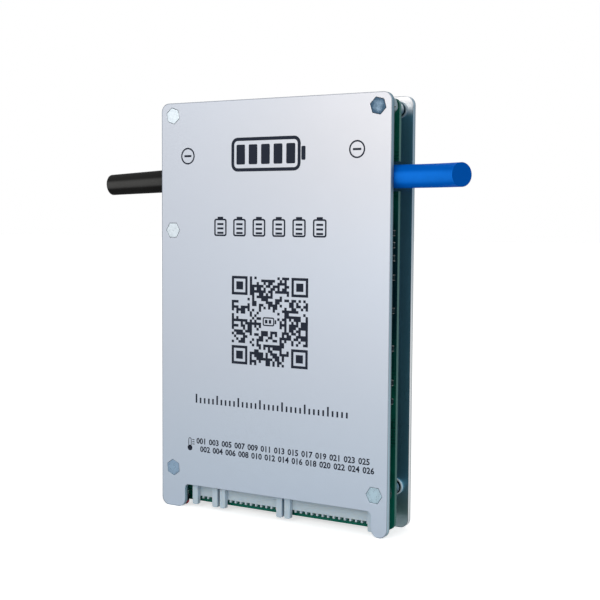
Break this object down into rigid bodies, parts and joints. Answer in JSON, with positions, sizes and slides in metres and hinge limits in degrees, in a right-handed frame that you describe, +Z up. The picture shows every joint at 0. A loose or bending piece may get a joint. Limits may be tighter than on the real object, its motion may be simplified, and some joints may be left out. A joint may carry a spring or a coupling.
{
  "type": "battery management board",
  "caption": "Battery protection circuit board held between aluminium plates on screwed pillars, with plug headers along its lower edge and a heavy lead leaving either side.",
  "frame": {"origin": "middle of the footprint, on the plane of the plates' lower edges", "axes": "+Z up along the board's long side, away from the plug headers; +X towards the lead marked B; +Y from the printed front plate to the back plate"},
  "size_m": [0.1623, 0.0238, 0.162],
  "materials": {
    "satin_aluminium": "satin anodised, printed in dark ink on the front",
    "board_laminate": "green solder mask over glass laminate",
    "radio_laminate": "blue solder mask",
    "pressed_steel": "zinc plated",
    "turned_steel": "turned",
    "zinc_steel": "zinc plated",
    "header_plastic": "off-white moulded",
    "tinned_metal": "tin plated",
    "lamp_lens": "clear red",
    "black_insulation": "smooth silicone",
    "blue_insulation": "smooth silicone",
    "solder": "cooled solder over stranded copper",
    "copper": "bare copper",
    "black_moulding": "moulded epoxy",
    "thermal_pad": "soft filled silicone",
    "shunt_alloy": "resistance alloy",
    "capacitor_can": "bare can",
    "ferrite": "sintered ferrite",
    "chip_ceramic": "ceramic with tinned ends"
  },
  "bodies": {
    "root": {"front_plate": "satin_aluminium", "back_plate": "satin_aluminium", "circuit_board": "board_laminate", "front_pillars": "pressed_steel", "rear_spacers": "turned_steel", "cover_screws": "zinc_steel", "temperature_header": "header_plastic", "temperature_pins": "tinned_metal", "high_cell_header": "header_plastic", "high_cell_pins": "tinned_metal", "low_cell_header": "header_plastic", "low_cell_pins": "tinned_metal", "status_lamp": "lamp_lens", "lamp_legs": "tinned_metal", "lead_p": "black_insulation", "lead_b": "blue_insulation", "soldered_core_p": "solder", "soldered_core_b": "solder", "copper_bar_p": "copper", "copper_bar_b": "copper", "transistor_p_1": "black_moulding", "transistor_p_2": "black_moulding", "transistor_p_3": "black_moulding", "transistor_p_4": "black_moulding", "transistor_p_5": "black_moulding", "transistor_p_6": "black_moulding", "transistor_b_1": "black_moulding", "transistor_b_2": "black_moulding", "transistor_b_3": "black_moulding", "transistor_b_4": "black_moulding", "transistor_b_5": "black_moulding", "transistor_b_6": "black_moulding", "heat_block_p": "satin_aluminium", "heat_block_b": "satin_aluminium", "inner_pad_p": "thermal_pad", "inner_pad_b": "thermal_pad", "outer_pad_p": "thermal_pad", "outer_pad_b": "thermal_pad", "shunt_1": "shunt_alloy", "shunt_2": "shunt_alloy", "shunt_3": "shunt_alloy", "shunt_4": "shunt_alloy", "microcontroller": "black_moulding", "monitor_chip_1": "black_moulding", "monitor_chip_2": "black_moulding", "crystal": "tinned_metal", "gate_drivers": "black_moulding", "radio_board": "radio_laminate", "radio_shield": "tinned_metal", "bulk_capacitors": "capacitor_can", "choke_coil": "copper", "choke_core": "ferrite", "surge_diodes": "black_moulding", "balance_resistors": "black_moulding", "balance_switches": "black_moulding", "edge_chips": "chip_ceramic"}
  },
  "joints": []
}
